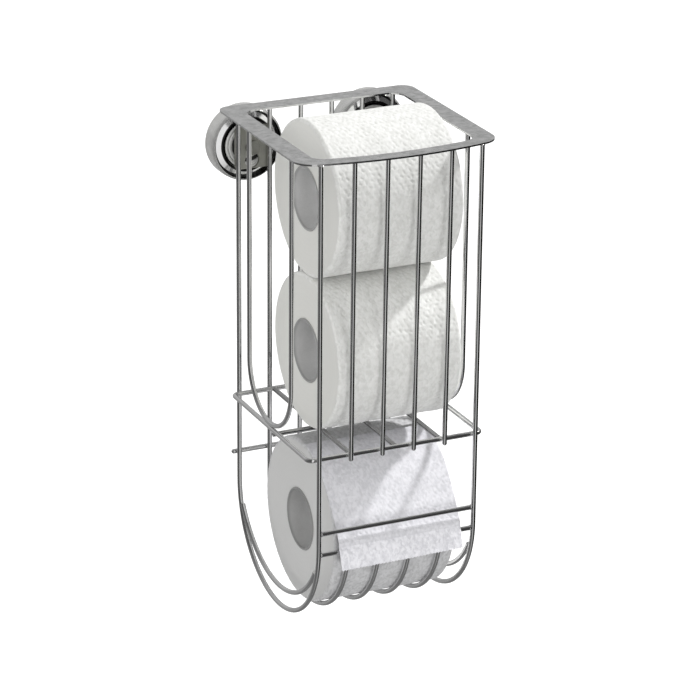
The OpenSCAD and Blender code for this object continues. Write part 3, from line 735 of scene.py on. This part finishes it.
def mount_trim(side, x):
    """On the disc of the housing: a bright ring at its edge and a dark bead round the post."""
    for name, low, high, rise, mat in (("rim", 12.3, NECK_R - 0.2, 0.45, mount_satin),
                                       ("trim", 9.3, 12.2, 0.75, trim_plastic)):
        mid, half = (low + high) / 2, (high - low) / 2
        bead = [(mid + half * math.cos(a), DISC_FRONT - 0.1 + rise * math.sin(a))
                for a in np.radians(range(0, 181, 15))]
        verts, faces = lathe(bead + [(low, DISC_FRONT - 0.3), (high, DISC_FRONT - 0.3)], x, 96)
        obj = mesh_object(side + "_mount_" + name, verts, faces, [mat])
        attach(obj, "wall_mounts")


for side, x in zip(("left", "right"), MOUNTS_X):
    twist_ring(side, x)
    mount_trim(side, x)


# ---------------------------------------------------------------- weld beads
def hoop_spots():
    """Centres and half sizes of the beads on the two hoops."""
    hoop_x = float(middle("right_hoop")[0])
    spots = []
    for x in (-hoop_x, hoop_x):
        s = math.copysign(1, x)
        for bar in (TEAR_HIGH, TEAR_LOW):
            spots.append(((x - s * 2.1, bar[1], bar[2]), (1.7, 1.95, 1.95)))
        spots.append(((x, BACK_Y + WIRE_R, BACK_BAR_Z), (1.3, 0.8, 1.3)))
        for y in (BACK_Y, FRONT_Y):
            spots.append(((x, y, RING_UNDER - 0.3), (2.2, 2.2, 0.8)))
    return spots


def wire_spots():
    """Centres and half sizes of the beads on the back and front wires."""
    cradle_front = float(span("back_wire_1")[0][1]) + WIRE_R
    spots = []
    for i in (1, 2, 3, 4):
        x = float(middle("back_wire_%d" % i)[0])
        front_wire_y = float(span("front_wire_%d" % i)[0][1]) + WIRE_R
        spots.append(((x, BACK_Y + WIRE_R, BACK_BAR_Z), (1.3, 0.8, 1.3)))
        spots.append(((x, BACK_Y - WIRE_R, FLOOR_Z), (1.3, 0.8, 1.3)))
        spots.append(((x, FRONT_Y + WIRE_R, FLOOR_Z), (1.3, 0.8, 1.3)))
        spots.append(((x, cradle_front - 1.6, TEAR_LOW[2] + 0.1), (1.3, 1.0, 0.9)))
        spots.append(((x, front_wire_y, RING_UNDER - 0.2), (2.1, 2.1, 0.7)))
        spots.append(((x, BACK_Y, RING_UNDER - 0.2), (2.1, 2.1, 0.7)))
    return spots


def side_spots():
    """Centres and half sizes of the beads on the side guards and on the floor loop's corners."""
    hoop_x = float(middle("right_hoop")[0])
    side_x, mid_y = (float(v) for v in middle("right_side_guard")[:2])
    leg = float(span("right_side_guard")[1][1]) - WIRE_R - mid_y
    cross_y = float(middle("floor_cross_bar")[1])
    spots = []
    for x in (-side_x, side_x):
        s = math.copysign(1, x)
        spots.append(((x, mid_y, FLOOR_Z + WIRE_R), (1.1, 2.2, 0.7)))
        spots.append(((x - s * 0.6, cross_y, FLOOR_Z - WIRE_R - 0.1), (1.2, 1.2, 0.7)))
        for y in (mid_y - leg, mid_y + leg):
            spots.append(((x, y, RING_UNDER - 0.2), (2.1, 2.1, 0.7)))
        for y in (BACK_Y, FRONT_Y):
            inward = math.copysign(1, mid_y - y)
            spots.append(((s * hoop_x, y + inward * (WIRE_R - 0.1), FLOOR_Z), (1.5, 0.9, 1.4)))
    return spots


def floor_spots():
    """Centres and half sizes of the beads on the floor bars."""
    cross_y = float(middle("floor_cross_bar")[1])
    spots = []
    for x in BARS_X:
        spots.append(((x, FRONT_Y + 3 * WIRE_R, FLOOR_Z), (1.8, 0.8, 1.5)))
        spots.append(((x, BACK_Y - 3 * WIRE_R, FLOOR_Z), (1.8, 0.8, 1.5)))
        spots.append(((x, cross_y, FLOOR_Z - WIRE_R), (1.2, 1.2, 0.6)))
    return spots


def bead(centre, half, phase, rings=9, parts=14):
    """Points of one bead, a slightly lumpy ball."""
    points = []
    for i in range(rings + 1):
        pol = math.pi * i / rings
        for j in range(parts):
            a = 2 * math.pi * j / parts
            k = 1 + 0.09 * math.sin(2 * a + phase[0]) + 0.06 * math.sin(3 * pol + phase[1] + a)
            way = (math.sin(pol) * math.cos(a), math.sin(pol) * math.sin(a), math.cos(pol))
            points.append(tuple((c + k * h * w) * MM for c, h, w in zip(centre, half, way)))
    quads = []
    for i in range(rings):
        for j in range(parts):
            a, b = i * parts + j, i * parts + (j + 1) % parts
            quads.append((a, a + parts, b + parts, b))
    return points, quads


def weld_beads():
    """Small flowed beads where the wires cross or end on one another."""
    verts, faces = [], []
    rng = np.random.default_rng(4)
    for centre, half in hoop_spots() + wire_spots() + side_spots() + floor_spots():
        points, quads = bead(centre, half, rng.uniform(0, 6.28, 3))
        faces += [tuple(v + len(verts) for v in q) for q in quads]
        verts += points
    obj = mesh_object("weld_beads", verts, faces, [wire_chrome])
    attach(obj, "rack")


weld_beads()


# ---------------------------------------------------------------- floor, light and world
FLOOR_HALF, FLOOR_LEVEL = 9.0, -0.72


def floor():
    """A plain pale floor under and behind the stand; the camera sees it white, but for the stand's shadow."""
    verts = [(x * FLOOR_HALF, y * FLOOR_HALF, FLOOR_LEVEL) for x, y in ((-1, -1), (1, -1), (1, 1), (-1, 1))]
    mat, n, shader = material("floor")
    shader.inputs["Roughness"].default_value = 0.9
    shader.inputs["Specular IOR Level"].default_value = 0.0
    cloud = n.noise(n.coords(), 2.0, 2.0, 0.5)
    n.link(n.ramp(cloud, [(0.2, 0.36), (0.8, 0.39)]), shader.inputs["Base Color"])
    path = n.add("ShaderNodeLightPath")
    glow = n.add("ShaderNodeEmission")
    n.link(n.math("MULTIPLY", path.outputs["Is Camera Ray"], 0.85), glow.inputs["Strength"])
    both = n.add("ShaderNodeAddShader")
    n.link(shader.outputs[0], both.inputs[0])
    n.link(glow.outputs[0], both.inputs[1])
    out = [k for k in n.tree.nodes if k.bl_idname == "ShaderNodeOutputMaterial"][0]
    n.link(both.outputs[0], out.inputs[0])
    obj = mesh_object("floor", verts, [(0, 1, 2, 3)], [mat], smooth=False)
    obj.visible_glossy = False


floor()

# Level direction from the stand to the camera is (-SIDE_Y, -SIDE_X); to its right (SIDE_X, -SIDE_Y)
SIDE_X, SIDE_Y = 0.906, 0.423


def panels(n, turn, pairs):
    """A band of the studio: brightness at angles round the stand, from the direction of the camera."""
    return n.ramp(turn, [((angle + 180) / 360, value) for angle, value in pairs])


def studio(n, side, near, dz):
    """What polished metal mirrors: dark and pale panels, one bright window a little right of the camera."""
    turn = n.math("MULTIPLY_ADD", n.math("ARCTAN2", side, near), 1 / (2 * math.pi), 0.5)
    height = n.math("MULTIPLY_ADD", dz, 0.5, 0.5)
    level = panels(n, turn, [(-180, 0.36), (-130, 0.33), (-100, 0.18), (-70, 0.1), (-25, 0.085), (-4, 0.1),
                             (4, 0.78), (20, 0.78), (29, 0.06), (45, 0.03), (70, 0.012), (110, 0.01),
                             (150, 0.03), (168, 0.2), (180, 0.36)])
    above = panels(n, turn, [(-180, 0.49), (-130, 0.46), (-85, 0.22), (-45, 0.09), (0, 0.06), (6, 0.8),
                             (32, 0.8), (40, 0.07), (100, 0.08), (135, 0.28), (180, 0.49)])
    below = panels(n, turn, [(-180, 0.2), (-60, 0.16), (0, 0.14), (8, 0.5), (30, 0.5), (38, 0.14),
                             (120, 0.15), (180, 0.2)])
    low = n.mix(n.ramp(height, [(0.1, 1.0), (0.24, 0.0)]), level, below)
    sides = n.mix(n.ramp(height, [(0.47, 0.0), (0.56, 1.0)]), low, above)
    return n.mix(n.ramp(height, [(0.9, 0.0), (0.98, 1.0)]), sides, (0.3, 0.3, 0.3))


def soft_light(n, near, dx, dz):
    """Light on matt surfaces: even, with more from the front and the left and less from above."""
    front = n.math("MULTIPLY", n.math("MAXIMUM", near, 0.0), 0.4)
    left = n.math("MULTIPLY", n.math("MAXIMUM", n.math("MULTIPLY", dx, -1.0), 0.0), 0.7)
    even = n.math("MULTIPLY_ADD", n.math("MAXIMUM", dz, 0.0), -0.12, 0.4)
    return n.math("ADD", n.math("ADD", front, left), even)


def world():
    """White to the camera, soft white light for matt surfaces, the studio for polished ones."""
    scene_world = bpy.data.worlds.new("studio")
    bpy.context.scene.world = scene_world
    scene_world.use_nodes = True
    n = Nodes(scene_world.node_tree)
    split = n.add("ShaderNodeSeparateXYZ")
    n.link(n.add("ShaderNodeTexCoord").outputs["Generated"], split.inputs[0])
    dx, dy, dz = split.outputs
    side = n.math("ADD", n.math("MULTIPLY", dx, SIDE_X), n.math("MULTIPLY", dy, -SIDE_Y))
    near = n.math("ADD", n.math("MULTIPLY", dx, -SIDE_Y), n.math("MULTIPLY", dy, -SIDE_X))
    matt, shiny, white = (n.add("ShaderNodeBackground") for _ in range(3))
    matt.inputs[0].default_value = (1.0, 1.0, 0.985, 1.0)
    n.link(soft_light(n, near, dx, dz), matt.inputs[1])
    n.link(studio(n, side, near, dz), shiny.inputs[0])
    shiny.inputs[1].default_value = 1.0
    white.inputs[0].default_value = (1, 1, 1, 1)
    white.inputs[1].default_value = 1.0
    path = n.add("ShaderNodeLightPath")
    shown = matt.outputs[0]
    for ray, other in (("Is Glossy Ray", shiny), ("Is Camera Ray", white)):
        choice = n.add("ShaderNodeMixShader")
        n.link(path.outputs[ray], choice.inputs[0])
        n.link(shown, choice.inputs[1])
        n.link(other.outputs[0], choice.inputs[2])
        shown = choice.outputs[0]
    n.link(shown, n.add("ShaderNodeOutputWorld").inputs[0])


world()


def aim(obj, place, target):
    obj.location = place
    obj.rotation_euler = (Vector(target) - Vector(place)).to_track_quat("-Z", "Y").to_euler()


def lamp(name, kind, energy, place, target):
    data = bpy.data.lights.new(name, kind)
    data.energy = energy
    obj = bpy.data.objects.new(name, data)
    bpy.context.scene.collection.objects.link(obj)
    aim(obj, place, target)
    return obj


def lights():
    """A key light from the upper right, a little from behind, and a soft one low in front."""
    key = lamp("key", "SUN", 3.0, (0.745 * 3, 0.1 * 3, 0.66 * 3), (0, 0, 0))
    key.data.angle = math.radians(4.5)
    fill = lamp("fill", "AREA", 6.2, (-0.25, -1.85, -0.46), (0, -0.12, -0.12))
    fill.data.shape = "RECTANGLE"
    fill.data.size, fill.data.size_y = 0.4, 0.45
    fill.visible_glossy = False


lights()

bpy.context.scene.view_settings.view_transform = "Standard"
